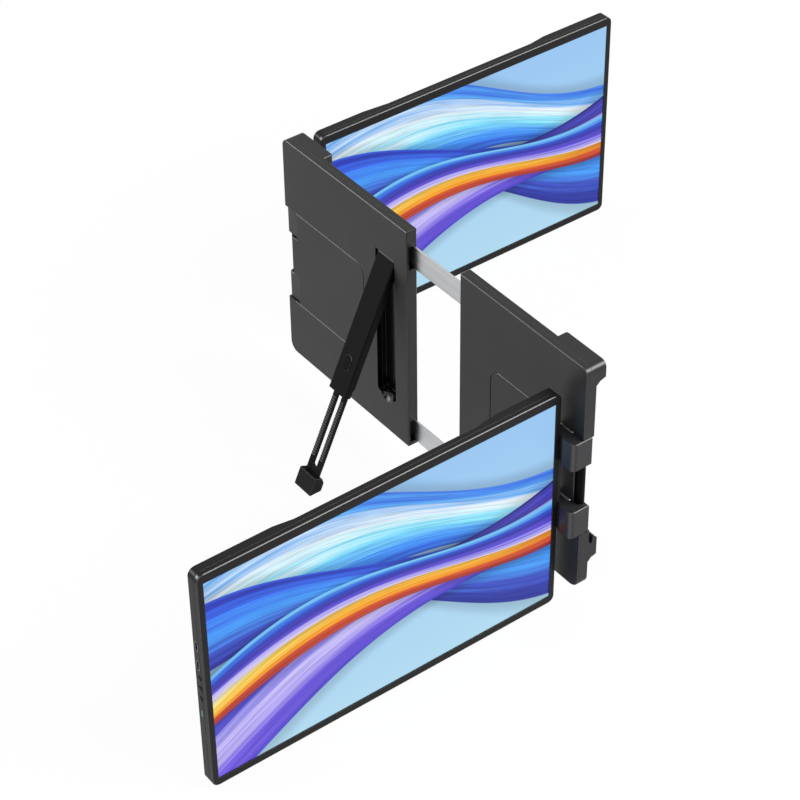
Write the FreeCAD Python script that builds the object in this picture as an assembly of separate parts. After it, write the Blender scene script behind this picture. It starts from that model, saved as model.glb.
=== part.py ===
import FreeCAD, Part
import math
import os

# A laptop screen extender: a two-part bracket that clips on the back of a laptop lid,
# a swinging portable display at each end of it, and a telescoping kickstand.
# Lengths are millimetres. X runs along the bracket, Y from its back to the laptop, Z up.

V = FreeCAD.Vector
Z_AXIS = V(0, 0, 1)

# Bracket
bracket_length = 373.4
bracket_height = 211.5
plate_thickness = 10.0
shell_split = 5.0
left_half_length = 163.4
right_half_length = 144.5
top_corner_radius = 6.0
bottom_corner_radius = 9.0
edge_chamfer = 0.6

# Displays
display_width = 301.6
display_height = 188.6
bezel_side = 5.0
bezel_top = 8.0
bezel_bottom = 7.0
housing_corner = 6.0
seam_chamfer = 0.3
housing_thickness = 11.4
shortest_rim = 30.0
middle_thinning = 2.5
bezel_depth = 4.0
display_recess = 0.8
panel_thickness = 1.6
panel_margin = 0.7
step_near_start = 50.0
step_near_end = 75.0
step_far_start = 231.0
step_far_end = 247.0
display_top_drop = 35.4

# Hinges, the same pivot at both ends
pivot_inset = 7.5
pivot_depth = 5.0
right_face_offset = 9.7
left_face_offset = 21.9
right_reach = 12.5
left_reach = 42.5
notch_top = 64.5
notch_bottom = 156.6
lug_height = 25.6
lug_play = 0.5
slot_depth = 24.0
web_inset = 9.0
core_radius = 3.7
core_play = 0.3
leaf_length = 36.0
leaf_thickness = 2.0
leaf_margin = 4.0
pin_radius = 1.5
pin_clearance = 0.05
pin_overrun = 6.0
bridge_thickness = 2.0
right_lug_overrun = 2.5
lug_rim = 8.0
right_lug_round = 5.0
left_lug_depth = 1.4
left_lug_gap = 0.6
left_lug_round = 3.0

# Hinge cover panels
cover_thickness = 1.2
cover_length = 107.0
cover_corner = 10.0
cover_seam = 0.3
seam_bevel = 0.45
left_skin_start = 15.5

# Slide rails and their guides
rail_height = 20.0
rail_thickness = 1.6
rail_depth = 7.5
rail_tops = (15.8, 187.5)
rail_start = 45.0
rail_end_gap = 9.4
guide_wall = 1.6
guide_mouth = 1.5
guide_length = 14.0
guide_recess = 4.0
rail_play = 0.3
right_channel_stop = 60.0

# Tab and hook that hold the laptop lid
tab_length = 44.0
tab_depth = 8.4
tab_height = 13.3
tab_slope_depth = 5.9
tab_slope_drop = 1.9
tab_root_drop = 4.5
tab_corner = 2.0
root_depth = 2.0
hook_width = 10.0
hook_depth = 7.5
hook_groove_bottom = 169.5
pad_thickness = 0.8
pad_inset = 12.0
pad_length = 48.0
upper_pad = (-56.0, -24.0)
lower_pad_lift = 8.0
thin_pad_height = 6.0
thin_pad_gap = 4.0
thin_pad_overrun = 20.0

# Kickstand
stand_center = 135.5
leg_width = 22.0
leg_thickness = 8.2
leg_length = 124.0
leg_top_drop = 37.0
leg_lift = 0.3
leg_chamfer = 1.2
leg_step_depth = 2.4
leg_step_height = 7.0
leg_shoulder = 10.0
stand_angle = 24.6
pocket_width = 24.4
pocket_top_drop = 36.2
pocket_bottom_drop = 177.0
pocket_depth = 8.8
stand_pin_radius = 1.6
stand_pin_drop = 41.0
stand_pin_depth = 4.4
rod_spacing = 10.4
rod_width = 4.0
rod_thickness = 3.6
rod_play = 0.15
rod_inside = 40.0
tooth_pitch = 2.3
tooth_depth = 0.7
tooth_count = 24
tooth_start = 6.0
web_height = 12.0
web_sunk = 8.0
web_inset_depth = 0.4
foot_height = 15.0
foot_grip = 3.0
foot_thickness = 10.6
foot_chamfer = 0.8
foot_slope_depth = 3.4
foot_slope_drop = 4.2
pocket_corner = 4.0
scoop_radius = 9.9
scoop_center_depth = -5.1
scoop_drop = 174.1
release_from_end = 27.0
release_width = 9.0
release_length = 14.0
release_depth = 2.6
release_proud = 0.4
release_well = 4.2
release_play = 0.3
release_chamfer = 0.3

# Controls on the free end of each display
control_depth = 7.3
port_drops = (68.6, 86.7)
port_width = 9.2
port_height = 3.4
port_depth = 6.5
port_shell = 0.35
tongue_thickness = 0.7
tongue_width = 6.6
tongue_drop = 1.2
button_drops = (99.3, 109.1, 119.2)
button_radius = 2.1
button_length = 3.0
button_proud = 0.5
button_play = 0.08
button_travel = 0.7
light_drop = 133.9
light_length = 6.5
light_width = 1.8
light_depth = 1.2

# Places that follow from the sizes above
rail_end = bracket_length - right_channel_stop - rail_end_gap
release_center = leg_length - release_from_end
housing_length = display_width + 2 * bezel_side
housing_height = display_height + bezel_top + bezel_bottom
housing_top = -(display_top_drop - bezel_top)
floor_z = housing_top - housing_height
right_pivot_x = bracket_length - pivot_inset
right_face_x = right_pivot_x - right_face_offset
left_face_x = pivot_inset - left_face_offset
right_near_y = pivot_depth - right_reach
left_near_y = pivot_depth + left_reach
extent_left = left_face_x - housing_thickness
extent_back = right_near_y - housing_length
extent_front = left_near_y + housing_length
shift = V(
    -(extent_left + bracket_length) / 2,
    -(extent_back + extent_front) / 2,
    -floor_z,
)
slot_height = lug_height + 2 * lug_play
upper_slot = (-notch_top - slot_height, -notch_top)
lower_slot = (-notch_bottom, -notch_bottom + slot_height)
stand_pivot = V(stand_center, stand_pin_depth, -stand_pin_drop)


def box(x0, x1, y0, y1, z0, z1):
    corner = V(min(x0, x1), min(y0, y1), min(z0, z1))
    return Part.makeBox(abs(x1 - x0), abs(y1 - y0), abs(z1 - z0), corner)


def polygon_face(points):
    return Part.Face(Part.makePolygon(points + [points[0]]))


def prism_x(outline, x0, x1):
    """A solid from (y, z) points, drawn out along X."""
    face = polygon_face([V(x0, y, z) for y, z in outline])
    return face.extrude(V(x1 - x0, 0, 0))


def prism_z(outline, z0, z1):
    """A solid from (x, y) points, drawn out along Z."""
    face = polygon_face([V(x, y, z0) for x, y in outline])
    return face.extrude(V(0, 0, z1 - z0))


def bar_z(x, y, radius, z0, z1):
    return Part.makeCylinder(radius, abs(z1 - z0), V(x, y, min(z0, z1)), Z_AXIS)


def edges_along(shape, direction, test):
    """The straight edges along a direction whose middle passes the test."""
    found = []
    for edge in shape.Edges:
        if not isinstance(edge.Curve, (Part.Line, Part.LineSegment)):
            continue
        if abs(abs(edge.tangentAt(edge.FirstParameter).dot(direction)) - 1) > 1e-4:
            continue
        middle = (edge.Vertexes[0].Point + edge.Vertexes[-1].Point) * 0.5
        if test(middle):
            found.append(edge)
    return found


def mirrored(shape):
    """The same piece at the other end of the bracket."""
    return shape.mirror(V(0, 0, 0), V(1, 0, 0)).translated(V(bracket_length, 0, 0))


def stadium_y(center, width, height, y0, y1):
    """A slot with round ends, its long way along Z, drawn out along Y."""
    radius = width / 2
    half = height / 2 - radius
    slot = box(center.x - radius, center.x + radius, y0, y1, center.z - half, center.z + half)
    for end in (-half, half):
        cap = Part.makeCylinder(radius, abs(y1 - y0), V(center.x, min(y0, y1), center.z + end), V(0, 1, 0))
        slot = slot.fuse(cap)
    return slot.removeSplitter()


def save(name, shape):
    moved = shape.translated(shift)
    moved.exportStep("parts/" + name + ".step")
    print(name, round(moved.Volume, 1), len(moved.Solids), moved.isValid())


# Bracket halves, drawn with the outer end at X = 0 and mirrored for the right half

def slab(length, y0, y1):
    """One layer of a half: its outer corners are round, its inner ones square."""
    body = box(0, length, y0, y1, -bracket_height, 0)
    along_y = V(0, 1, 0)
    body = body.makeFillet(top_corner_radius, edges_along(body, along_y, lambda p: p.x < 1 and p.z > -1))
    low = edges_along(body, along_y, lambda p: p.x < 1 and p.z < -bracket_height + 1)
    return body.makeFillet(bottom_corner_radius, low)


def hinge_room(side):
    """What the lugs, the pivot and its leaf need cut out of a half."""
    room = box(-1, slot_depth, -1, plate_thickness + 1, *upper_slot)
    room = room.fuse(box(-1, slot_depth, -1, plate_thickness + 1, *lower_slot))
    core_room = pivot_inset + core_radius + core_play
    room = room.fuse(box(-1, core_room, -1, plate_thickness + 1, lower_slot[1] - 1, upper_slot[0] + 1))
    leaf_y = pivot_depth - leaf_thickness / 2
    room = room.fuse(
        box(core_room - 1, pivot_inset + leaf_length, leaf_y, leaf_y + leaf_thickness,
            lower_slot[1] + leaf_margin, upper_slot[0] - leaf_margin)
    )
    pin_hole = pin_radius + pin_clearance
    room = room.fuse(
        bar_z(pivot_inset, pivot_depth, pin_hole, -notch_bottom - pin_overrun, -notch_top + pin_overrun)
    )
    return room.fuse(cover_plate(side, 0.0)).fuse(seam_groove())


def cover_blank(seam, y0, y1):
    """The hinge cover's outline, in from its seam, as a plate from y0 to y1."""
    plate = box(web_inset, cover_length - seam, y0, y1, -notch_bottom + seam, -notch_top - seam)
    inner = edges_along(plate, V(0, 1, 0), lambda p: p.x > web_inset + 1)
    return plate.makeFillet(cover_corner, inner)


def seam_groove():
    """The bevel round the hinge cover's place that makes its seam catch the light."""
    groove = cover_blank(-seam_bevel, 0, seam_bevel)
    deep = [edge for edge in groove.Edges if edge.CenterOfMass.y > seam_bevel - 0.01]
    return groove.makeChamfer(seam_bevel - 0.01, deep)


def cover_plate(side, seam):
    """The thin panel over the hinge, open round the lugs."""
    plate = cover_blank(seam, 0, cover_thickness)
    lug_opening = left_skin_start if side == "left" else slot_depth
    for slot in (upper_slot, lower_slot):
        plate = plate.cut(box(-1, lug_opening, -1, 2, slot[0] - seam, slot[1] + 2 * seam))
    return plate


def rail_room(start, length):
    """The channels that the rails lie in, wider at the mouth for the guides."""
    room = None
    for top in rail_tops:
        low = -top - rail_height
        channel = box(start, length + 1, rail_back() - rail_play, rail_front() + rail_play,
                      low - rail_play, -top + rail_play)
        mouth = box(length - guide_length, length + 1, guide_mouth, guide_front(),
                    low - guide_wall, -top + guide_wall)
        channel = channel.fuse(mouth)
        room = channel if room is None else room.fuse(channel)
    return room


def rail_back():
    return rail_depth - rail_thickness / 2


def rail_front():
    return rail_depth + rail_thickness / 2


def guide_front():
    """The guide's front wall is half as thick as its others, to stay inside the plate."""
    return rail_front() + guide_wall / 2


def tab():
    """The thick tab at the top outer corner; its underside slopes back to the plate."""
    front = plate_thickness + tab_depth
    root = plate_thickness - root_depth
    outline = [
        (root, 0),
        (front, 0),
        (front, -tab_height),
        (front - tab_slope_depth, -tab_height - tab_slope_drop),
        (plate_thickness, -tab_height - tab_root_drop),
        (root, -tab_height - tab_root_drop),
    ]
    body = prism_x(outline, 0, tab_length)
    corner = edges_along(body, V(0, 1, 0), lambda p: p.x < 1 and p.z > -1)
    body = body.makeFillet(top_corner_radius, corner)
    inner = edges_along(body, V(0, 0, 1), lambda p: p.x > tab_length - 1 and p.y > front - 1)
    body = body.makeFillet(tab_corner, inner)
    middles = [(edge, edge.CenterOfMass) for edge in body.Edges]
    face = [edge for edge, middle in middles if middle.y > front - 0.01 and middle.z > -tab_height + 1]
    return body.makeChamfer(edge_chamfer, face)


def hook():
    """The small hook near the bottom outer corner: a groove and an upturned tip."""
    face = plate_thickness
    groove = hook_groove_bottom
    root = face - root_depth
    outline = [
        (root, -groove + 0.6),
        (face, -groove + 0.6),
        (face + 0.9, -groove - 1.0),
        (face + 2.1, -groove - 1.4),
        (face + 3.0, -groove - 0.6),
        (face + 3.3, -groove + 4.4),
        (face + 4.4, -groove + 5.4),
        (face + hook_depth, -groove + 2.2),
        (face + hook_depth, -groove - 14.3),
        (face + 2.6, -groove - 15.6),
        (face, -groove - 18.4),
        (root, -groove - 18.4),
    ]
    return prism_x(outline, 0, hook_width)


def back_shell(side, length, channel_start):
    shell = slab(length, 0, shell_split)
    outer = [edge for edge in shell.Edges if edge.CenterOfMass.y < 0.01]
    shell = shell.makeChamfer(edge_chamfer, outer)
    shell = shell.cut(hinge_room(side))
    return shell.cut(rail_room(channel_start, length))


def front_shell(side, length, channel_start):
    shell = slab(length, shell_split, plate_thickness)
    outer = [edge for edge in shell.Edges if edge.CenterOfMass.y > plate_thickness - 0.01]
    shell = shell.makeChamfer(edge_chamfer, outer)
    shell = shell.cut(rail_room(channel_start, length))
    shell = shell.fuse(tab()).fuse(hook()).removeSplitter()
    return shell.cut(hinge_room(side))


def rail_guides(length):
    """A black sleeve in the mouth of each channel, with the rail's slot near the front."""
    sleeves = []
    for top in rail_tops:
        low = -top - rail_height
        sleeve = box(length - guide_length, length, guide_mouth, guide_front(),
                     low - guide_wall, -top + guide_wall)
        slot = box(length - guide_length - 1, length + 1, rail_back() - rail_play, rail_front() + rail_play,
                   low - rail_play, -top + rail_play)
        mouth = box(length - guide_recess, length + 1, guide_mouth + guide_wall / 2, rail_front() + rail_play,
                    low - rail_play, -top + rail_play)
        sleeves.append(sleeve.cut(slot).cut(mouth))
    return Part.makeCompound(sleeves)


def hinge_core():
    """The fixed torque barrel between the lugs, with its mounting leaf."""
    low = lower_slot[1] + core_play
    high = upper_slot[0] - core_play
    barrel = bar_z(pivot_inset, pivot_depth, core_radius, low, high)
    leaf = box(pivot_inset, pivot_inset + leaf_length, pivot_depth - leaf_thickness / 2,
               pivot_depth + leaf_thickness / 2, lower_slot[1] + leaf_margin, upper_slot[0] - leaf_margin)
    core = barrel.fuse(leaf).removeSplitter()
    return core.cut(bar_z(pivot_inset, pivot_depth, pin_radius, low - 1, high + 1))


def hinge_pin():
    low = -notch_bottom - pin_overrun
    high = -notch_top + pin_overrun
    return bar_z(pivot_inset, pivot_depth, pin_radius, low, high)


def cover_panel(side):
    panel = cover_plate(side, cover_seam)
    top = [edge for edge in panel.Edges if edge.CenterOfMass.y < 0.01]
    return panel.makeChamfer(seam_bevel, top)


def grip_pads(length):
    """Soft strips on the laptop side: one under the tab, two along the plate."""
    front = plate_thickness + pad_thickness
    pads = []
    inner = length - pad_inset
    low = -bracket_height + lower_pad_lift
    pads.append(box(inner - pad_length, inner, plate_thickness, front, *upper_pad))
    pads.append(box(inner - pad_length, inner, plate_thickness, front, low, low + thin_pad_height))
    pads.append(box(slot_depth + thin_pad_gap, tab_length + thin_pad_overrun, plate_thickness, front,
                    upper_pad[0] - thin_pad_height, upper_pad[0]))
    return Part.makeCompound(pads)


# Kickstand, drawn folded flat in its pocket and then swung out to its resting angle

def stand_pocket():
    left = stand_center - pocket_width / 2
    right = stand_center + pocket_width / 2
    pocket = box(left, right, -1, pocket_depth, -pocket_bottom_drop, -pocket_top_drop)
    low = edges_along(pocket, V(0, 1, 0), lambda p: p.z < -pocket_bottom_drop + 1)
    pocket = pocket.makeFillet(pocket_corner, low)
    scoop = Part.makeSphere(scoop_radius, V(stand_center, scoop_center_depth, -scoop_drop))
    return pocket.fuse(scoop)


def swing(shape):
    return shape.rotated(stand_pivot, V(1, 0, 0), -stand_angle)


def stand_leg():
    left = stand_center - leg_width / 2
    right = stand_center + leg_width / 2
    low = -leg_top_drop - leg_length
    leg = box(left, right, leg_lift, leg_lift + leg_thickness, low, -leg_top_drop)
    crown = edges_along(leg, V(1, 0, 0), lambda p: p.z > low + 1)
    leg = leg.makeFillet(leg_thickness / 2 - 0.3, crown)
    long_edges = edges_along(leg, V(0, 0, 1), lambda p: p.y < leg_lift + 0.1)
    leg = leg.makeChamfer(leg_chamfer, long_edges)
    front = leg_lift + leg_thickness
    step = box(left - 1, right + 1, front - leg_step_depth, front + 1, low - 1, low + leg_step_height)
    leg = leg.cut(step)
    for sign in (-1, 1):
        x = stand_center + sign * rod_spacing / 2
        half = rod_width / 2 + rod_play
        y1 = rod_front() - rod_play
        leg = leg.cut(box(x - half, x + half, y1, y1 + rod_thickness + 2 * rod_play,
                          low - 1, -leg_top_drop - leg_shoulder))
    web_room = rod_spacing / 2
    web_back = rod_front() + web_inset_depth - rod_play
    web_front = rod_front() + rod_thickness - web_inset_depth + rod_play
    leg = leg.cut(box(stand_center - web_room, stand_center + web_room, web_back, web_front,
                      low - 1, low + web_sunk))
    well = V(stand_center, 0, -leg_top_drop - release_center)
    oval = stadium_y(well, release_width + 2 * release_play, release_length + 2 * release_play,
                     leg_lift - 1, release_well)
    leg = leg.cut(oval)
    pin = Part.makeCylinder(stand_pin_radius + pin_clearance, leg_width + 2,
                            V(left - 1, stand_pin_depth, -stand_pin_drop), V(1, 0, 0))
    return leg.cut(pin)


def rod_front():
    """Depth of the rods' front faces inside the leg, behind the release well."""
    return release_well + 0.2


def stand_pin():
    reach = pocket_width / 2 + 3
    start = V(stand_center - reach, stand_pin_depth, -stand_pin_drop)
    return Part.makeCylinder(stand_pin_radius, 2 * reach, start, V(1, 0, 0))


def stand_reach():
    """Distance down the leg from its pivot to the floor."""
    return (-floor_z - stand_pin_drop) / math.cos(math.radians(stand_angle))


def toothed_rod(x, top, bottom):
    """One rod of the fork, with a row of slanted teeth cut across its front face."""
    y0 = rod_front()
    rod = box(x - rod_width / 2, x + rod_width / 2, y0, y0 + rod_thickness, bottom, top)
    first = -leg_top_drop - leg_length - tooth_start
    for index in range(tooth_count):
        z = first - index * tooth_pitch
        notch = prism_x([(y0 - 0.1, z), (y0 + tooth_depth, z), (y0 - 0.1, z - tooth_pitch * 0.7)],
                        x - rod_width, x + rod_width)
        rod = rod.cut(notch)
    return rod


def stand_fork():
    """The telescoping part: two toothed rods joined by a round-ended web at the foot."""
    top = -leg_top_drop - leg_length + rod_inside
    bottom = -stand_pin_drop - stand_reach() + foot_height - foot_grip
    y0 = rod_front()
    fork = None
    for sign in (-1, 1):
        rod = toothed_rod(stand_center + sign * rod_spacing / 2, top, bottom)
        fork = rod if fork is None else fork.fuse(rod)
    half = rod_spacing / 2
    web = box(stand_center - half, stand_center + half,
              y0 + web_inset_depth, y0 + rod_thickness - web_inset_depth, bottom, bottom + web_height)
    slot_end = Part.makeCylinder(half - rod_width / 2, rod_thickness + 2,
                                 V(stand_center, y0 - 1, bottom + web_height), V(0, 1, 0))
    return fork.fuse(web.cut(slot_end)).removeSplitter()


def stand_foot():
    """A rubber shoe on the fork; its sole is cut level with the floor at the resting angle."""
    y_mid = rod_front() + rod_thickness / 2
    floor = -stand_pin_drop - stand_reach()
    tilt = math.tan(math.radians(stand_angle))
    y0 = y_mid - foot_thickness / 2
    y1 = y_mid + foot_thickness / 2
    top = floor + foot_height
    outline = [
        (y0, top),
        (y1 - foot_slope_depth, top),
        (y1, top - foot_slope_drop),
        (y1, floor + (y1 - stand_pin_depth) * tilt),
        (y0, floor + (y0 - stand_pin_depth) * tilt),
    ]
    left = stand_center - leg_width / 2
    shoe = prism_x(outline, left, left + leg_width)
    shoe = shoe.makeChamfer(foot_chamfer, shoe.Edges)
    for sign in (-1, 1):
        x = stand_center + sign * rod_spacing / 2
        half = rod_width / 2
        shoe = shoe.cut(box(x - half, x + half, rod_front(), rod_front() + rod_thickness,
                            top - foot_grip, top + 1))
    web_half = rod_spacing / 2
    return shoe.cut(box(stand_center - web_half, stand_center + web_half, rod_front() + web_inset_depth,
                        rod_front() + rod_thickness - web_inset_depth, top - foot_grip, top + 1))


def release_button():
    center = V(stand_center, 0, -leg_top_drop - release_center)
    back = leg_lift - release_proud
    button = stadium_y(center, release_width, release_length, back, back + release_depth)
    rim = [edge for edge in button.Edges if edge.CenterOfMass.y < back + 0.01]
    return button.makeChamfer(release_chamfer, rim)


# Displays, drawn with the near end at Y = 0, the screen's face at X = 0 facing +X, the top at Z = 0

def housing_outline(depth):
    """The plan of the back cover: thick at both ends, thinner between two slopes."""
    thin = -(housing_thickness - middle_thinning)
    thick = -housing_thickness
    return [
        (-depth, 0), (thick, 0), (thick, step_near_start), (thin, step_near_end),
        (thin, step_far_start), (thick, step_far_end), (thick, housing_length), (-depth, housing_length),
    ]


def round_corners(body):
    """Round the four corners that are seen from the front."""
    return body.makeFillet(housing_corner, edges_along(body, V(1, 0, 0), lambda p: True))


def display_box(margin, x0, x1):
    return box(x0, x1, bezel_side - margin, bezel_side + display_width + margin,
               -bezel_top - display_height - margin, -bezel_top + margin)


def bezel():
    frame = round_corners(box(-bezel_depth, 0, 0, housing_length, -housing_height, 0))
    front = [edge for edge in frame.Edges if edge.CenterOfMass.x > -0.01]
    frame = frame.makeChamfer(edge_chamfer, front)
    rear = [edge for edge in frame.Edges if edge.CenterOfMass.x < -bezel_depth + 0.01]
    frame = frame.makeChamfer(seam_chamfer, rear)
    frame = frame.cut(display_box(0, -bezel_depth - 1, 1))
    return frame.cut(display_box(panel_margin, -bezel_depth - 1, -display_recess))


def display_panel():
    return display_box(panel_margin - 0.1, -display_recess - panel_thickness, -display_recess)


def backlight_tray():
    return display_box(panel_margin - 0.1, -bezel_depth, -display_recess - panel_thickness)


def back_cover():
    cover = prism_z(housing_outline(bezel_depth), -housing_height, 0)
    ends = box(-housing_thickness - 1, 0, 0, housing_length, -housing_height, 0)
    cover = cover.common(round_corners(ends))
    back = [edge for edge in cover.Edges if edge.CenterOfMass.x < -housing_thickness + 0.01]
    rim = [edge for edge in back if edge.Length > shortest_rim]
    cover = cover.makeChamfer(edge_chamfer, rim)
    seam = [edge for edge in cover.Edges if edge.CenterOfMass.x > -bezel_depth - 0.01]
    cover = cover.makeChamfer(seam_chamfer, seam)
    end = housing_length
    for drop in port_drops:
        cover = cover.cut(port_slot(drop, 0.0, port_depth))
    for drop in button_drops:
        hole = Part.makeCylinder(button_radius + button_play, button_length + button_travel + 1,
                                 V(-control_depth, end - button_length - button_travel, -drop), V(0, 1, 0))
        cover = cover.cut(hole)
    return cover.cut(light_bar(0.0))


def port_slot(drop, inset, depth):
    """A round-ended slot for a port, set in from its outline by the inset."""
    radius = port_height / 2 - inset
    half = port_width / 2 - port_height / 2
    y0 = housing_length - depth
    slot = box(-control_depth - radius, -control_depth + radius, y0, housing_length,
               -drop - half, -drop + half)
    for end in (-half, half):
        slot = slot.fuse(Part.makeCylinder(radius, depth, V(-control_depth, y0, -drop + end), V(0, 1, 0)))
    return slot.removeSplitter()


def ports():
    """Two metal port shells, each with a flat tongue inside."""
    shells = []
    for drop in port_drops:
        shell = port_slot(drop, 0.0, port_depth).cut(port_slot(drop, port_shell, port_depth - 1))
        y0 = housing_length - port_depth
        thick = tongue_thickness / 2
        wide = tongue_width / 2
        tongue = box(-control_depth - thick, -control_depth + thick, y0, housing_length - tongue_drop,
                     -drop - wide, -drop + wide)
        shells.append(shell.fuse(tongue).removeSplitter())
    return Part.makeCompound(shells)


def control_button(drop):
    return Part.makeCylinder(button_radius, button_length + button_proud,
                             V(-control_depth, housing_length - button_length, -drop), V(0, 1, 0))


def light_bar(inset):
    half = light_width / 2
    return box(-control_depth - half, -control_depth + half, housing_length - light_depth, housing_length - inset,
               -light_drop - light_length / 2, -light_drop + light_length / 2)


def seat_left(shape):
    return shape.translated(V(left_face_x, left_near_y, housing_top))


def seat_right(shape):
    return shape.mirror(V(0, 0, 0), V(0, 1, 0)).translated(V(right_face_x, right_near_y, housing_top))


def lug_levels():
    return (
        (upper_slot[0] + lug_play, upper_slot[1] - lug_play),
        (lower_slot[0] + lug_play, lower_slot[1] - lug_play),
    )


def hinge_arm(outline, bridge, pivot_x, corner_test, corner_radius):
    """Two lugs on the pivot, joined by a bridge along the end of the display."""
    lugs = None
    for low, high in lug_levels():
        lug = prism_z([(pivot_x + x, pivot_depth + y) for x, y in outline], low, high)
        lugs = lug if lugs is None else lugs.fuse(lug)
    x0, x1, y0, y1 = bridge
    span = box(pivot_x + x0, pivot_x + x1, pivot_depth + y0, pivot_depth + y1, lower_slot[0] + lug_play,
               upper_slot[1] - lug_play)
    arm = lugs.fuse(span).removeSplitter()
    arm = arm.makeFillet(corner_radius, edges_along(arm, Z_AXIS, corner_test))
    level = [edge for edge in arm.Edges if edge.BoundBox.ZLength < 0.01]
    rims = [edge for edge in level if abs(edge.CenterOfMass.x - pivot_x) < lug_rim]
    arm = arm.makeChamfer(edge_chamfer, rims)
    bore = bar_z(pivot_x, pivot_depth, pin_radius + pin_clearance, -notch_bottom - 1, -notch_top + 1)
    return arm.cut(bore)


def right_arm():
    """At rest the right display points back, so its lugs turn round the plate's end."""
    end = pivot_inset
    back = -right_reach - right_lug_overrun
    inner = -right_face_offset
    outer = inner - housing_thickness + edge_chamfer
    outline = [
        (end, 3.2), (end, back), (-4.6, back), (-7.6, back + 1.4), (inner - 0.2, -right_reach),
        (outer, -right_reach), (outer, -5.8), (-6.0, -5.8), (-6.0, 1.2), (-4.0, 3.2),
    ]
    bridge = (outer, inner - edge_chamfer, -right_reach, -right_reach + bridge_thickness)
    return hinge_arm(
        outline, bridge, right_pivot_x,
        lambda p: p.x > right_pivot_x + end - 0.1 and p.y < pivot_depth + back + 1,
        right_lug_round,
    )


def left_arm():
    """The left display folds over the right one, so its lugs reach further."""
    inner = -left_face_offset
    outer = inner - housing_thickness + edge_chamfer
    end = -pivot_inset + 0.2
    back = -pivot_depth + left_lug_depth
    skin = left_skin_start - pivot_inset - left_lug_gap
    outline = [
        (end, 6.0), (end, back), (skin, back), (skin, 0.5), (3.5, 4.0), (3.5, 7.0), (-2.0, 12.0),
        (inner, left_reach - 13.5), (inner, left_reach), (outer, left_reach), (outer, left_reach - 11.5),
    ]
    bridge = (outer, inner, left_reach - bridge_thickness, left_reach)
    return hinge_arm(
        outline, bridge, pivot_inset,
        lambda p: p.y < pivot_depth - 3 and p.x < pivot_inset,
        left_lug_round,
    )


def build():
    os.makedirs("parts", exist_ok=True)
    pocket = stand_pocket()
    left_start = rail_start - 1
    save("left_back_shell", back_shell("left", left_half_length, left_start).cut(pocket).cut(stand_pin()))
    save("left_front_shell", front_shell("left", left_half_length, left_start).cut(pocket).cut(stand_pin()))
    save("left_hinge_cover", cover_panel("left"))
    save("left_rail_guides", rail_guides(left_half_length))
    save("left_hinge_core", hinge_core())
    save("left_hinge_pin", hinge_pin())
    save("left_grip_pads", grip_pads(left_half_length))
    save("slide_rails", slide_rails())
    save("right_back_shell", mirrored(back_shell("right", right_half_length, right_channel_stop)))
    save("right_front_shell", mirrored(front_shell("right", right_half_length, right_channel_stop)))
    save("right_hinge_cover", mirrored(cover_panel("right")))
    save("right_rail_guides", mirrored(rail_guides(right_half_length)))
    save("right_hinge_core", mirrored(hinge_core()))
    save("right_hinge_pin", mirrored(hinge_pin()))
    save("right_grip_pads", mirrored(grip_pads(right_half_length)))
    save("stand_pin", stand_pin())
    save("stand_leg", swing(stand_leg()))
    save("stand_fork", swing(stand_fork()))
    save("stand_foot", swing(stand_foot()))
    save("stand_release", swing(release_button()))
    for side, seat, arm in (("left", seat_left, left_arm), ("right", seat_right, right_arm)):
        save(side + "_hinge_arm", arm())
        save(side + "_bezel", seat(bezel()))
        save(side + "_display", seat(display_panel()))
        save(side + "_backlight", seat(backlight_tray()))
        save(side + "_back_cover", seat(back_cover()))
        save(side + "_ports", seat(ports()))
        save(side + "_status_light", seat(light_bar(0.1)))
        for index, drop in enumerate(button_drops):
            save(side + "_button_" + str(index + 1), seat(control_button(drop)))


def slide_rails():
    """Two flat rails, fixed in the left half and sliding in the right."""
    rails = []
    for top in rail_tops:
        rails.append(box(rail_start, rail_end, rail_back(), rail_front(), -top - rail_height, -top))
    return Part.makeCompound(rails)


build()
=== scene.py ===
import math
import bpy
from mathutils import Matrix, Vector


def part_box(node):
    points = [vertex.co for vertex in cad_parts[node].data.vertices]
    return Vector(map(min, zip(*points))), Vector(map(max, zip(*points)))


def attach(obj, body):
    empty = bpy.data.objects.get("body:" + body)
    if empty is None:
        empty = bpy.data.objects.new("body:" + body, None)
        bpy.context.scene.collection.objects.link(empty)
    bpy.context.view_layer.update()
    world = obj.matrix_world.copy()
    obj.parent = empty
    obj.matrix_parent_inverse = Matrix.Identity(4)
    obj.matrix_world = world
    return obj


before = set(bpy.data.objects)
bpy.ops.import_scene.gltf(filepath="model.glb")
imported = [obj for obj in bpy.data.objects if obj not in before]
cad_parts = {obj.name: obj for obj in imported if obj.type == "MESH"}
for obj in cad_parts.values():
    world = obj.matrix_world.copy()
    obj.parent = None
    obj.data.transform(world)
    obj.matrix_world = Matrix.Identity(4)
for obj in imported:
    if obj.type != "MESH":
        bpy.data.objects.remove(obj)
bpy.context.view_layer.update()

# The camera stands where the photograph was taken from: high on the near display's side,
# with a long lens. Its place and angles were fitted to the corners of bracket and displays.
camera_azimuth = math.radians(53.35)
camera_elevation = math.radians(39.47)
camera_roll = math.radians(-0.69)
camera_place = Vector((1.2197, -0.9430, 1.3346))
camera_data = bpy.data.cameras.new("photo_camera")
camera_data.sensor_width = 36.0
camera_data.lens = 112.97
camera_data.clip_end = 50.0
forward = Vector((
    -math.sin(camera_azimuth) * math.cos(camera_elevation),
    math.cos(camera_azimuth) * math.cos(camera_elevation),
    -math.sin(camera_elevation),
))
level_right = Vector((math.cos(camera_azimuth), math.sin(camera_azimuth), 0.0))
level_up = level_right.cross(forward)
right = level_right * math.cos(camera_roll) + level_up * math.sin(camera_roll)
up = level_up * math.cos(camera_roll) - level_right * math.sin(camera_roll)
camera = bpy.data.objects.new("photo_camera", camera_data)
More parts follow.
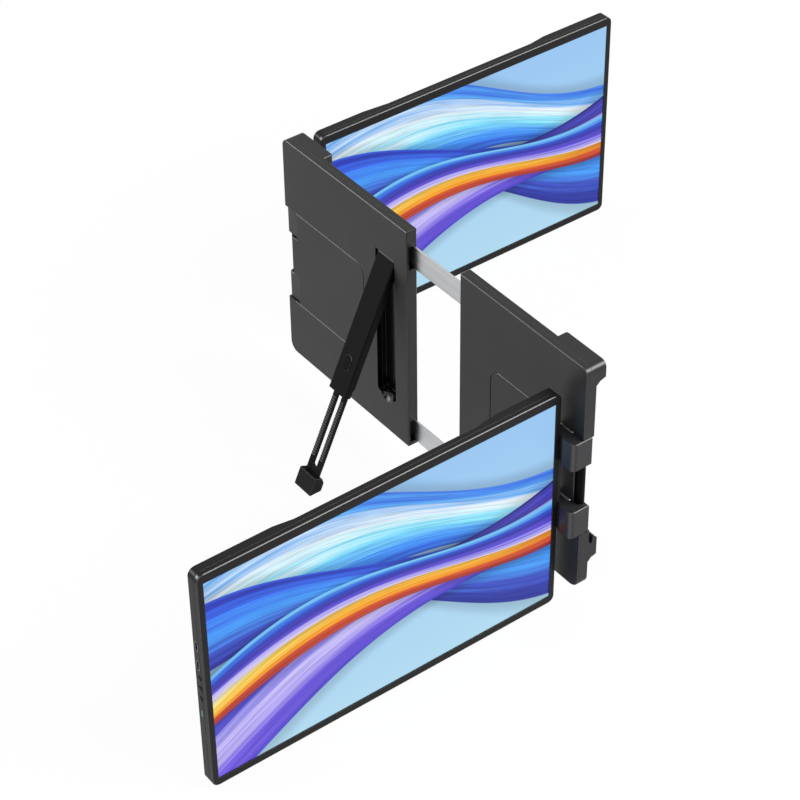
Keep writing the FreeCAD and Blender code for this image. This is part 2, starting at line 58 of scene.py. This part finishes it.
camera.matrix_world = Matrix((
    (right.x, up.x, -forward.x, camera_place.x),
    (right.y, up.y, -forward.y, camera_place.y),
    (right.z, up.z, -forward.z, camera_place.z),
    (0.0, 0.0, 0.0, 1.0),
))
bpy.context.scene.collection.objects.link(camera)
bpy.context.scene.camera = camera
bpy.context.scene.view_settings.view_transform = "Standard"


# The studio is a matt white floor in a white room. Camera, glossy and transmission rays see
# plain white, and the floor keeps a faint shadow under the object.
def linear(hex_colour, strength=1.0):
    """An sRGB hex colour as the linear values that a shader takes."""
    channels = [int(hex_colour[i:i + 2], 16) / 255 for i in (1, 3, 5)]
    curved = [c / 12.92 if c <= 0.04045 else ((c + 0.055) / 1.055) ** 2.4 for c in channels]
    return [strength * c for c in curved] + [1.0]


def add_node(tree, kind, inputs=None, **settings):
    """One node, with its settings and its inputs: a value, or the socket that feeds it."""
    node = tree.nodes.new(kind)
    for name, value in settings.items():
        setattr(node, name, value)
    for name, value in (inputs or {}).items():
        if isinstance(value, bpy.types.NodeSocket):
            tree.links.new(value, node.inputs[name])
        else:
            node.inputs[name].default_value = value
    return node


def calculate(tree, operation, *values):
    """The result of one sum on numbers or sockets."""
    return add_node(tree, "ShaderNodeMath", dict(enumerate(values)), operation=operation).outputs[0]


def new_material(name):
    """An empty material with its output node."""
    material = bpy.data.materials.new(name)
    material.use_nodes = True
    material.node_tree.nodes.clear()
    output = add_node(material.node_tree, "ShaderNodeOutputMaterial")
    return material, material.node_tree, output


def seen_directly(tree):
    """One for a camera, glossy or transmission ray, nought for the light that falls on things."""
    ray = add_node(tree, "ShaderNodeLightPath").outputs
    either = calculate(tree, "MAXIMUM", ray["Is Camera Ray"], ray["Is Glossy Ray"])
    return calculate(tree, "MAXIMUM", either, ray["Is Transmission Ray"])


white = linear("#ffffff")
room_light = 0.5
room = bpy.data.worlds.new("white_room")
room.use_nodes = True
room_tree = room.node_tree
room_tree.nodes.clear()
room_output = add_node(room_tree, "ShaderNodeOutputWorld")
lighting = add_node(room_tree, "ShaderNodeBackground", {"Color": white, "Strength": room_light})
backdrop = add_node(room_tree, "ShaderNodeBackground", {"Color": white, "Strength": 1.0})
room_mix = add_node(room_tree, "ShaderNodeMixShader", {
    0: seen_directly(room_tree), 1: lighting.outputs[0], 2: backdrop.outputs[0]})
room_tree.links.new(room_mix.outputs[0], room_output.inputs["Surface"])
bpy.context.scene.world = room

floor_half = 6.0
floor_glow_share = 0.94
floor_mesh = bpy.data.meshes.new("studio_floor")
floor_mesh.from_pydata(
    [(-floor_half, -floor_half, 0), (floor_half, -floor_half, 0),
     (floor_half, floor_half, 0), (-floor_half, floor_half, 0)], [], [(0, 1, 2, 3)])
floor = bpy.data.objects.new("studio_floor", floor_mesh)
bpy.context.scene.collection.objects.link(floor)
floor_paint, floor_tree, floor_output = new_material("matt_white_floor_paint")
floor_matt = add_node(floor_tree, "ShaderNodeBsdfDiffuse", {"Color": linear("#fdfdfd")})
floor_glow = add_node(floor_tree, "ShaderNodeEmission", {"Color": white, "Strength": 1.0})
floor_share = calculate(floor_tree, "MULTIPLY", seen_directly(floor_tree), floor_glow_share)
floor_mix = add_node(floor_tree, "ShaderNodeMixShader", {
    0: floor_share, 1: floor_matt.outputs[0], 2: floor_glow.outputs[0]})
floor_tree.links.new(floor_mix.outputs[0], floor_output.inputs["Surface"])
floor_mesh.materials.append(floor_paint)

# Four broad softboxes. Two fill the faces, and two stand where the camera sees them mirrored
# in the bevels, one for the backs' top edges and one for the ends' and the displays' top edges.
lamp_target = Vector((0.0, 0.0, 0.12))
for lamp_name, lamp_place, lamp_width, lamp_height, lamp_watts in (
    ("overhead_softbox", (0.2, 0.1, 1.7), 1.4, 1.4, 3.0),
    ("side_softbox", (-0.6, -1.7, 1.0), 1.2, 1.2, 6.0),
    ("back_edge_softbox", (-1.24, -1.27, 0.95), 1.2, 0.6, 11.0),
    ("end_edge_softbox", (1.27, 0.92, 1.28), 1.6, 0.9, 30.0),
):
    lamp_data = bpy.data.lights.new(lamp_name, "AREA")
    lamp_data.shape = "RECTANGLE"
    lamp_data.size = lamp_width
    lamp_data.size_y = lamp_height
    lamp_data.energy = lamp_watts
    lamp = bpy.data.objects.new(lamp_name, lamp_data)
    lamp.location = lamp_place
    aim = lamp_target - Vector(lamp_place)
    lamp.rotation_euler = aim.to_track_quat("-Z", "Y").to_euler()
    bpy.context.scene.collection.objects.link(lamp)


# Each half of the bracket is two injection-moulded ABS shells in a spark-eroded finish: an even
# fine grain that spreads highlights. Bevels are polished, as moulded. The pocket and hinge windows
# are glossier and painted near-black as shade in those recesses.
mm = 0.001
shading_samples = 6
plastic_ior = 1.5
noise_spread = (0.3, 0.7)
bevel_spread = (0.89, 0.84)


def mixed(tree, share, first, second):
    """A number that goes from the first to the second value as the share goes from 0 to 1."""
    return add_node(tree, "ShaderNodeMix", {
        "Factor": share, "A": first, "B": second}).outputs["Result"]


def mixed_colour(tree, share, first, second):
    """The same for colours."""
    return add_node(tree, "ShaderNodeMix", {
        "Factor": share, "A": first, "B": second}, data_type="RGBA").outputs["Result"]


def ranged(tree, value, from_range, to_range, **settings):
    """A value carried from one range to another and held at its ends."""
    return add_node(tree, "ShaderNodeMapRange", {
        "Value": value, "From Min": from_range[0], "From Max": from_range[1],
        "To Min": to_range[0], "To Max": to_range[1]}, **settings).outputs["Result"]


def noise(tree, place, size, detail, roughness):
    """Noise with features of about one size, in metres."""
    return add_node(tree, "ShaderNodeTexNoise", {
        "Vector": place, "Scale": 1.0 / size, "Detail": detail,
        "Roughness": roughness}).outputs["Fac"]


def soft_normal(tree, radius):
    """The surface's direction with its sharp edges rounded."""
    return add_node(tree, "ShaderNodeBevel", {"Radius": radius},
                    samples=shading_samples).outputs["Normal"]


def bumped(tree, height, strength, depth, normal):
    """A surface's direction, moved by a height map."""
    return add_node(tree, "ShaderNodeBump", {
        "Height": height, "Strength": strength, "Distance": depth,
        "Normal": normal}).outputs["Normal"]


def region(tree, place, low, high):
    """One inside a box given in metres, nought outside it."""
    axes = add_node(tree, "ShaderNodeSeparateXYZ", {"Vector": place})
    inside = None
    for axis in range(3):
        middle, half = (low[axis] + high[axis]) / 2, (high[axis] - low[axis]) / 2
        close = calculate(tree, "COMPARE", axes.outputs[axis], middle, half)
        inside = close if inside is None else calculate(tree, "MULTIPLY", inside, close)
    return inside


def polished_edges(tree, normal):
    """One on a piece's bevels and corner rounds, nought on the faces square to its axes."""
    own = add_node(tree, "ShaderNodeVectorTransform", {"Vector": normal}, vector_type="NORMAL",
                   convert_from="WORLD", convert_to="OBJECT").outputs["Vector"]
    facing = add_node(tree, "ShaderNodeVectorMath", {0: own}, operation="ABSOLUTE").outputs[0]
    axes = add_node(tree, "ShaderNodeSeparateXYZ", {"Vector": facing})
    largest = calculate(tree, "MAXIMUM", axes.outputs["X"], axes.outputs["Y"])
    largest = calculate(tree, "MAXIMUM", largest, axes.outputs["Z"])
    return ranged(tree, largest, bevel_spread, (0.0, 1.0))


grain_contrast = 0.15
grain_bite = 0.4
bevel_grain_bite = 0.05
drift_size = 70 * mm
drift_of_roughness = 0.03
# The near-black of recesses and the darkening of crevices below are painted shade.
painted_shade_black = "#070708"
polished_roughness = 0.2
crevice_shade_spread = (0.55, 0.95)
crevice_painted_shade = 0.12


def moulded_plastic(name, colour, roughness, grain_mm, grain_depth_mm, gloss_level=0.2,
                    edge_mm=0.5, edge_roughness=0.2, edge_gloss=0.6, polished_and_shaded=(), crevice_shade_mm=0.0):
    """A moulded plastic: grain in its bump, a slow drift of gloss, soft glossy edges, and
    where they are asked for, glossy regions painted near-black as shade and painted shade in
    crevices."""
    material, tree, output = new_material(name)
    place = add_node(tree, "ShaderNodeTexCoord").outputs["Object"]
    grain = noise(tree, place, grain_mm * mm, 2.0, 0.5)
    drift = noise(tree, place, drift_size, 3.0, 0.6)
    gloss = ranged(tree, drift, noise_spread,
                   (roughness - drift_of_roughness, roughness + drift_of_roughness))
    tone = mixed_colour(tree, grain, linear(colour, 1.0 - grain_contrast),
                        linear(colour, 1.0 + grain_contrast))
    # Painted shade: inside each region the tone is set near-black, as shade in a recess, and the
    # surface is made glossier.
    for low, high in polished_and_shaded:
        inside = region(tree, place, low, high)
        tone = mixed_colour(tree, inside, tone, linear(painted_shade_black))
        gloss = mixed(tree, inside, gloss, polished_roughness)
    edge = soft_normal(tree, edge_mm * mm)
    bevel = polished_edges(tree, edge)
    gloss = mixed(tree, bevel, gloss, edge_roughness)
    level = mixed(tree, bevel, gloss_level, edge_gloss)
    # Painted shade: ambient occlusion darkens the tone and the reflection in crevices.
    if crevice_shade_mm:
        openness = add_node(tree, "ShaderNodeAmbientOcclusion", {"Distance": crevice_shade_mm * mm},
                            samples=shading_samples, only_local=True).outputs["AO"]
        crevice_shade = ranged(tree, openness, crevice_shade_spread, (crevice_painted_shade, 1.0))
        tone = add_node(tree, "ShaderNodeVectorMath", {0: tone, 1: crevice_shade},
                        operation="MULTIPLY").outputs[0]
        level = calculate(tree, "MULTIPLY", level, crevice_shade)
    bite = calculate(tree, "MULTIPLY_ADD", bevel, bevel_grain_bite - grain_bite, grain_bite)
    bump = bumped(tree, grain, bite, grain_depth_mm * mm, edge)
    shader = add_node(tree, "ShaderNodeBsdfPrincipled", {
        "Base Color": tone, "Roughness": gloss, "IOR": plastic_ior,
        "Specular IOR Level": level, "Normal": bump})
    tree.links.new(shader.outputs[0], output.inputs["Surface"])
    return material


def dress(node, material):
    """Give a solid its finish."""
    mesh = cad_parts[node].data
    mesh.materials.clear()
    mesh.materials.append(material)


sides = ("left", "right")
pocket_width = 0.0246
pocket_edge_depth = 0.0002
pocket_depth = 0.0105
pocket_foot = 0.02
pocket_head = 0.03
back_low, back_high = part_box("left_back_shell")
leg_low, leg_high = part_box("stand_leg")
leg_middle = (leg_low[0] + leg_high[0]) / 2
# The kickstand's pocket and the windows round the hinges get painted shade: near-black and
# glossier.
pocket_region = (
    [leg_middle - pocket_width / 2, back_low[1] + pocket_edge_depth, back_low[2] + pocket_foot],
    [leg_middle + pocket_width / 2, back_low[1] + pocket_depth, back_high[2] - pocket_head],
)
window_side = 0.003
window_rim = 0.001
window_depth = 0.012
window_regions = []
for side in sides:
    pin_low, pin_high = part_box(side + "_hinge_pin")
    core_low, core_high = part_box(side + "_hinge_core")
    window_regions.append((
        [pin_low[0] - window_side, back_low[1] - window_rim, core_low[2] - window_rim],
        [pin_high[0] + window_side, back_low[1] + window_depth, core_high[2] + window_rim],
    ))
bracket_black = "#272728"
shell_abs = moulded_plastic("spark_grained_black_abs", bracket_black, 0.42, 0.8, 0.05,
                            polished_and_shaded=[pocket_region] + window_regions)
for side in sides:
    dress(side + "_back_shell", shell_abs)
    dress(side + "_front_shell", shell_abs)

# The hinge covers are thin moulded panels that snap in flush over the hinges. Their bevelled
# rims make the long seams on the bracket's back.
cover_abs = moulded_plastic("snap_in_cover_abs", bracket_black, 0.42, 0.8, 0.05)
for side in sides:
    dress(side + "_hinge_cover", cover_abs)


# The rails are flat aluminium bars, brushed along their length and clear anodised. They show
# fine long streaks and a bright line where each edge was broken.
streak_contrast = 0.28
streak_of_roughness = 0.08
streak_bite = 0.25
streak_depth = 0.04 * mm


def brushed_metal(name, colour, roughness, streak_mm, streak_stretch, metallic=1.0,
                  edge_mm=0.2, gloss_level=0.5):
    """A metal brushed along X: streaks that are long in X and fine across it."""
    material, tree, output = new_material(name)
    place = add_node(tree, "ShaderNodeTexCoord").outputs["Object"]
    stretched = add_node(tree, "ShaderNodeMapping", {
        "Vector": place, "Scale": (1.0 / streak_stretch, 1.0, 1.0)}).outputs["Vector"]
    streaks = noise(tree, stretched, streak_mm * mm, 4.0, 0.7)
    tone = mixed_colour(tree, streaks, linear(colour, 1.0 - streak_contrast),
                        linear(colour, 1.0 + streak_contrast))
    gloss = ranged(tree, streaks, (0.0, 1.0),
                   (roughness - streak_of_roughness, roughness + streak_of_roughness))
    edge = soft_normal(tree, edge_mm * mm)
    bump = bumped(tree, streaks, streak_bite, streak_depth, edge)
    shader = add_node(tree, "ShaderNodeBsdfPrincipled", {
        "Base Color": tone, "Metallic": metallic, "Roughness": gloss,
        "Specular IOR Level": gloss_level, "Normal": bump})
    tree.links.new(shader.outputs[0], output.inputs["Surface"])
    return material


rail_metal = brushed_metal("brushed_anodised_aluminium", "#bfc0c2", 0.34, 1.4, 70.0)
dress("slide_rails", rail_metal)

# The guides in the halves' mouths are black acetal, unfilled and slippery, so they are darker
# and smoother than the shells round them.
guide_acetal = moulded_plastic("smooth_black_acetal", "#0a0a0b", 0.3, 2.0, 0.01, edge_mm=0.2)
for side in sides:
    dress(side + "_rail_guides", guide_acetal)

# A torque barrel in each end holds its display at any angle. The barrels are steel with a black
# oxide finish, and the pins through them and the kickstand's pin are ground bright, out of sight.
oxide_steel = brushed_metal("black_oxide_steel", "#060607", 0.5, 1.0, 1.0, 0.1,
                            gloss_level=0.05)
ground_steel = brushed_metal("ground_pin_steel", "#a9abae", 0.28, 0.6, 4.0)
for side in sides:
    dress(side + "_hinge_core", oxide_steel)
    dress(side + "_hinge_pin", ground_steel)
dress("stand_pin", ground_steel)

# The hinge arms are glass-filled nylon, moulded in one piece with their two lugs. The finish is
# a little greyer than the shells and slightly cloudy.
arm_nylon = moulded_plastic("glass_filled_nylon", "#303032", 0.4, 1.2, 0.04)
for side in sides:
    dress(side + "_hinge_arm", arm_nylon)


# The grip pads are silicone strips glued to the laptop side. Each has a row of half-round ribs
# across it that keep the laptop's lid from sliding.
def rows_tree(name):
    """Geometry nodes that set copies of a mesh in a row: how many, how far apart, which way."""
    tree = bpy.data.node_groups.new(name, "GeometryNodeTree")
    tree.interface.new_socket("Geometry", in_out="OUTPUT", socket_type="NodeSocketGeometry")
    sockets = {}
    for label, kind in (
        ("Piece", "NodeSocketObject"), ("Count", "NodeSocketInt"), ("Start", "NodeSocketVector"),
        ("Step", "NodeSocketVector"), ("Finish", "NodeSocketMaterial"),
    ):
        socket = tree.interface.new_socket(label, in_out="INPUT", socket_type=kind)
        sockets[label] = socket.identifier
    given = add_node(tree, "NodeGroupInput")
    line = add_node(tree, "GeometryNodeMeshLine", {
        "Count": given.outputs["Count"], "Start Location": given.outputs["Start"],
        "Offset": given.outputs["Step"]}, mode="OFFSET")
    piece = add_node(tree, "GeometryNodeObjectInfo", {"Object": given.outputs["Piece"]})
    placed = add_node(tree, "GeometryNodeInstanceOnPoints", {
        "Points": line.outputs["Mesh"], "Instance": piece.outputs["Geometry"]})
    real = add_node(tree, "GeometryNodeRealizeInstances", {"Geometry": placed.outputs["Instances"]})
    painted = add_node(tree, "GeometryNodeSetMaterial", {
        "Geometry": real.outputs["Geometry"], "Material": given.outputs["Finish"]})
    output = add_node(tree, "NodeGroupOutput")
    tree.links.new(painted.outputs["Geometry"], output.inputs["Geometry"])
    return tree, sockets


def mesh_object(name, vertices, faces, smooth=False):
    """An object at the origin from its points and faces."""
    mesh = bpy.data.meshes.new(name)
    mesh.from_pydata(vertices, [], faces)
    mesh.validate()
    for face in mesh.polygons:
        face.use_smooth = smooth
    made = bpy.data.objects.new(name, mesh)
    bpy.context.scene.collection.objects.link(made)
    return made


def row_of(name, pattern, count, start, step, finish, body):
    """Make a finished row of one small pattern mesh that rides on a body."""
    carrier = mesh_object(name + "_carrier", [(0, 0, 0)], [])
    modifier = carrier.modifiers.new("row", "NODES")
    modifier.node_group = row_group
    modifier[row_sockets["Piece"]] = pattern
    modifier[row_sockets["Count"]] = count
    modifier[row_sockets["Start"]] = start
    modifier[row_sockets["Step"]] = step
    modifier[row_sockets["Finish"]] = finish
    bpy.context.view_layer.update()
    evaluated = carrier.evaluated_get(bpy.context.evaluated_depsgraph_get())
    solid = bpy.data.meshes.new_from_object(evaluated)
    bpy.data.objects.remove(carrier)
    row = bpy.data.objects.new(name, solid)
    bpy.context.scene.collection.objects.link(row)
    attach(row, body)


row_group, row_sockets = rows_tree("row_of_pieces")

pad_silicone = moulded_plastic("matt_black_silicone", "#161617", 0.75, 0.9, 0.05, 0.25,
                               edge_roughness=0.7, edge_gloss=0.25)
for side in sides:
    dress(side + "_grip_pads", pad_silicone)

rib_height = 0.00025
rib_half_width = 0.0006
rib_pitch = 0.0024
rib_length = 0.026
rib_arc = 6
rib_angles = [math.pi * i / rib_arc for i in range(rib_arc + 1)]
rib_profile = [(-rib_half_width * math.cos(a), rib_height * math.sin(a)) for a in rib_angles]
rib_points = [(x, y, z) for z in (-rib_length / 2, rib_length / 2) for x, y in rib_profile]
rib_side = rib_arc + 1
rib_faces = [(i, i + rib_side, i + rib_side + 1, i + 1) for i in range(rib_arc)]
rib_faces += [tuple(range(rib_side)), tuple(reversed(range(rib_side, 2 * rib_side)))]
rib = mesh_object("pad_rib_pattern", rib_points, rib_faces, smooth=True)
pad_length = 0.048
pad_inset = 0.012
pad_middle_drop = 0.040
rib_count = int(pad_length / rib_pitch) - 1
pad_middle = back_high[2] - pad_middle_drop
for side, inner_end, direction in (
    ("left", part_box("left_back_shell")[1][0], -1.0),
    ("right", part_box("right_back_shell")[0][0], 1.0),
):
    pad_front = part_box(side + "_grip_pads")[1][1]
    first = inner_end + direction * (pad_inset + rib_pitch)
    row_of(side + "_pad_ribs", rib, rib_count, (first, pad_front, pad_middle),
           (direction * rib_pitch, 0.0, 0.0), pad_silicone, side + "_half")
bpy.data.objects.remove(rib)


# Small countersunk screws in black zinc hold the shells together from the laptop side, and
# the back covers to the displays. Each head lies flush and has a six-sided socket.
screw_radius = 0.0019
screw_socket = 0.0009
screw_depth = 0.0006
screw_lip = 0.0001
socket_share = 0.8
screw_steps = 24


def screw_pattern(name, direction):
    """A screw head with a hexagonal socket, its top at the origin facing along a direction."""
    turn = Vector((0, 0, 1)).rotation_difference(Vector(direction))
    rings = (
        (screw_radius, -screw_depth, False), (screw_radius, -screw_lip, False),
        (screw_radius - screw_lip, 0.0, False), (screw_socket, 0.0, True),
        (screw_socket, -screw_depth * socket_share, True),
    )
    points = []
    for reach, height, hexagonal in rings:
        for i in range(screw_steps):
            angle = 2 * math.pi * i / screw_steps
            sector = (angle % (math.pi / 3)) - math.pi / 6
            away = reach * (math.cos(math.pi / 6) / math.cos(sector) if hexagonal else 1.0)
            points.append(turn @ Vector((away * math.cos(angle), away * math.sin(angle), height)))
    faces = []
    for ring in range(len(rings) - 1):
        here, after = ring * screw_steps, (ring + 1) * screw_steps
        for i in range(screw_steps):
            j = (i + 1) % screw_steps
            faces.append((here + i, here + j, after + j, after + i))
    faces.append(tuple(reversed(range(screw_steps))))
    faces.append(tuple(range((len(rings) - 1) * screw_steps, len(rings) * screw_steps)))
    return mesh_object(name, points, faces)


screw_zinc = brushed_metal("black_zinc_steel", "#2a2a2c", 0.32, 0.4, 1.0, 0.9, edge_mm=0.1)
shell_screw = screw_pattern("shell_screw_pattern", (0, 1, 0))
cover_to_front = 0.010
screw_inset = 0.007
shell_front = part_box("left_hinge_cover")[0][1] + cover_to_front
for side, first, to_outer in (
    ("left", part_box("left_back_shell")[1][0] - screw_inset, -0.088),
    ("right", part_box("right_back_shell")[0][0] + screw_inset, 0.075),
):
    for name, drop in (("upper", 0.008), ("middle", 0.100), ("lower", 0.1855)):
        row_of(side + "_" + name + "_screws", shell_screw, 2,
               (first, shell_front, back_high[2] - drop),
               (to_outer, 0.0, 0.0), screw_zinc, side + "_half")
bpy.data.objects.remove(shell_screw)

# The displays' housings are fine-grained ABS in two parts. The back cover carries the hinge arm
# and the controls, and the bezel is a satin frame clipped on in front of the panel.
housing_abs = moulded_plastic("fine_grained_housing_abs", "#1e1e1f", 0.4, 0.7, 0.04, 0.1,
                              edge_gloss=0.2)
bezel_abs = moulded_plastic("satin_black_bezel_abs", "#1c1c1d", 0.38, 0.7, 0.03, 0.1,
                            edge_gloss=0.8)
cover_screw = screw_pattern("cover_screw_pattern", (-1, 0, 0))
cover_screw_inset = 0.009
for side in sides:
    dress(side + "_back_cover", housing_abs)
    dress(side + "_backlight", housing_abs)
    dress(side + "_bezel", bezel_abs)
    cover_low, cover_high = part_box(side + "_back_cover")
    screw_span = cover_high[1] - cover_low[1] - 2 * cover_screw_inset
    for name, height in (
        ("upper", cover_high[2] - cover_screw_inset), ("lower", cover_low[2] + cover_screw_inset),
    ):
        row_of(side + "_cover_" + name + "_screws", cover_screw, 2,
               (cover_low[0], cover_low[1] + cover_screw_inset, height),
               (0.0, screw_span, 0.0), screw_zinc, side + "_screen")
bpy.data.objects.remove(cover_screw)


# The panels are lit liquid crystal behind a hard anti-glare film. The picture on them is made
# up: five silk ribbons that wave across a pale sky, each with fine strands along it.
strand_rate_along = 0.9
strand_rate_across = 9.0
broad_strand = 1.0 / 0.9
fine_strand = 0.2
silk_dim, silk_bright = 0.72, 1.25
ribbon_rim = (0.97, 1.0)
shade_reach = (1.0, 1.5)
shade_dim = 0.72
picture_brightness = 0.95


def wave(tree, across, level, slope, height, rate, phase):
    """A slow wave along the picture's width."""
    swing = calculate(tree, "SINE", calculate(tree, "MULTIPLY_ADD", across, rate, phase))
    straight = calculate(tree, "MULTIPLY_ADD", across, slope, level)
    return calculate(tree, "MULTIPLY_ADD", swing, height, straight)


def ribbon(tree, under, across, upward, middle, half_width, colours, seed):
    """A ribbon laid over a colour: a waving band with strands along it and a shade under it."""
    centre = wave(tree, across, *middle)
    reach = wave(tree, across, *half_width)
    offset = calculate(tree, "DIVIDE", calculate(tree, "SUBTRACT", upward, centre), reach)
    strands = add_node(tree, "ShaderNodeCombineXYZ", {
        "X": calculate(tree, "MULTIPLY_ADD", across, strand_rate_along, seed),
        "Y": calculate(tree, "MULTIPLY", offset, strand_rate_across),
        "Z": seed}).outputs[0]
    broad = noise(tree, strands, broad_strand, 2.0, 0.5)
    fine = noise(tree, strands, fine_strand, 3.0, 0.65)
    drifted = calculate(tree, "MULTIPLY_ADD", broad, 0.5, 0.25)
    ramp = add_node(tree, "ShaderNodeValToRGB", {
        "Fac": calculate(tree, "MULTIPLY_ADD", offset, 0.5, drifted)})
    stops = ramp.color_ramp.elements
    stops[0].position, stops[0].color = 0.0, linear(colours[0])
    stops[1].position, stops[1].color = 1.0, linear(colours[-1])
    for index, colour in enumerate(colours[1:-1], 1):
        stops.new(index / (len(colours) - 1)).color = linear(colour)
    sheen = ranged(tree, fine, noise_spread, (silk_dim, silk_bright))
    silk = add_node(tree, "ShaderNodeVectorMath", {
        0: ramp.outputs["Color"], 1: sheen}, operation="MULTIPLY").outputs[0]
    away = calculate(tree, "ABSOLUTE", offset)
    cover = ranged(tree, away, ribbon_rim, (1.0, 0.0))
    shade = ranged(tree, away, shade_reach, (shade_dim, 1.0), interpolation_type="SMOOTHSTEP")
    shaded = add_node(tree, "ShaderNodeVectorMath", {
        0: under, 1: shade}, operation="MULTIPLY").outputs[0]
    return mixed_colour(tree, cover, shaded, silk)


def lit_picture(name, node):
    """A glowing picture laid over the front of a panel, drawn from its own corners."""
    low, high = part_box(node)
    height = high[2] - low[2]
    material, tree, output = new_material(name)
    place = add_node(tree, "ShaderNodeTexCoord").outputs["Object"]
    axes = add_node(tree, "ShaderNodeSeparateXYZ", {"Vector": place})
    across = calculate(tree, "MULTIPLY_ADD", axes.outputs["Y"], 1.0 / height, -low[1] / height)
    upward = calculate(tree, "MULTIPLY_ADD", axes.outputs["Z"], 1.0 / height, -low[2] / height)
    picture = mixed_colour(tree, upward, linear("#b4def5"), linear("#9ccaf6"))
    for middle, half_width, colours, seed in (
        ((0.78, -0.10, 0.13, 2.4, 0.3), (0.20, 0.0, 0.07, 3.1, 0.9),
         ("#2f63e0", "#4696fa", "#86e4ff", "#f2fdff", "#5aa9f5", "#3a6fe6"), 1.7),
        ((0.62, -0.16, 0.14, 2.3, 0.9), (0.13, 0.02, 0.05, 3.6, 2.2),
         ("#2a2f9a", "#3f56c9", "#4aa2ff", "#3c6df0", "#2d3db8"), 4.1),
        ((0.10, 0.30, 0.12, 2.6, 0.2), (0.17, 0.0, 0.06, 2.9, 1.4),
         ("#4b3cc8", "#7a63e6", "#cfc6ff", "#5a55dd", "#2b2a86"), 7.3),
        ((0.28, 0.17, 0.15, 2.5, 0.5), (0.065, 0.03, 0.02, 4.0, 0.4),
         ("#8c2438", "#e0592a", "#ffb52e", "#ffe873", "#fff6dc", "#b98af0"), 9.6),
        ((0.38, 0.13, 0.15, 2.45, 0.62), (0.045, 0.02, 0.02, 3.3, 1.1),
         ("#efe6ff", "#6a5ce6", "#3a35a8", "#2f63e0", "#7fd4ff"), 12.9),
    ):
        picture = ribbon(tree, picture, across, upward, middle, half_width, colours, seed)
    shader = add_node(tree, "ShaderNodeBsdfPrincipled", {
        "Base Color": linear("#030304"), "Roughness": 0.3, "IOR": plastic_ior,
        "Specular IOR Level": 0.1, "Emission Color": picture,
        "Emission Strength": picture_brightness})
    tree.links.new(shader.outputs[0], output.inputs["Surface"])
    return material


for side in sides:
    dress(side + "_display", lit_picture("lit_" + side + "_panel", side + "_display"))

# Two ports, three push buttons and a status light sit in the free end of each display. The
# ports' shells are plated steel with gilt contacts on their tongues; the light is green acrylic.
plated_steel = brushed_metal("plated_port_steel", "#8d9094", 0.25, 0.5, 1.0, edge_mm=0.1)
button_abs = moulded_plastic("gloss_black_button_abs", "#060607", 0.22, 1.5, 0.01, 0.08, 0.3,
                             edge_gloss=0.9)
light_acrylic = moulded_plastic("green_tinted_acrylic", "#1f7a5c", 0.15, 2.0, 0.005, 0.5, 0.1)
contact_gilt = brushed_metal("gold_flashed_copper", "#d8b25a", 0.25, 0.5, 1.0, edge_mm=0.05)
contact_count = 12
contact_pitch = 0.00045
contact_size = (0.00082, 0.0016, 0.00024)
half_x, half_y, half_z = (value / 2 for value in contact_size)
contact = mesh_object(
    "port_contact_pattern",
    [(x, y, z) for x in (-half_x, half_x) for y in (-half_y, half_y) for z in (-half_z, half_z)],
    [(0, 1, 3, 2), (4, 6, 7, 5), (0, 4, 5, 1), (2, 3, 7, 6), (0, 2, 6, 4), (1, 5, 7, 3)])
contact_span = contact_pitch * (contact_count - 1)
port_height = 0.0092
tongue_inset = 0.0026
for side in sides:
    dress(side + "_ports", plated_steel)
    dress(side + "_status_light", light_acrylic)
    for index in (1, 2, 3):
        dress(side + "_button_" + str(index), button_abs)
    ports_low, ports_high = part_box(side + "_ports")
    tongue_x = (ports_low[0] + ports_high[0]) / 2
    tongue_y = ports_high[1] - tongue_inset if side == "left" else ports_low[1] + tongue_inset
    for name, middle in (
        ("upper", ports_high[2] - port_height / 2), ("lower", ports_low[2] + port_height / 2),
    ):
        row_of(side + "_" + name + "_port_contacts", contact, contact_count,
               (tongue_x, tongue_y, middle - contact_span / 2),
               (0.0, 0.0, contact_pitch), contact_gilt, side + "_screen")
bpy.data.objects.remove(contact)

# The kickstand's leg and toothed fork are a dense nylon, blacker than the bracket, with painted
# shade between the teeth. A glossy release button is let into the leg, and the shoe is dull rubber.
stand_nylon = moulded_plastic("dense_black_nylon", "#111112", 0.38, 0.8, 0.03, 0.06,
                              edge_roughness=0.26, edge_gloss=0.3, crevice_shade_mm=1.6)
release_nylon = moulded_plastic("gloss_black_release_nylon", "#101011", 0.3, 1.2, 0.01, 0.05,
                                0.35, edge_gloss=1.0)
shoe_rubber = moulded_plastic("moulded_black_rubber", "#131314", 0.55, 0.6, 0.05, 0.12,
                              edge_roughness=0.35, edge_gloss=0.4)
dress("stand_leg", stand_nylon)
dress("stand_fork", stand_nylon)
dress("stand_release", release_nylon)
dress("stand_foot", shoe_rubber)
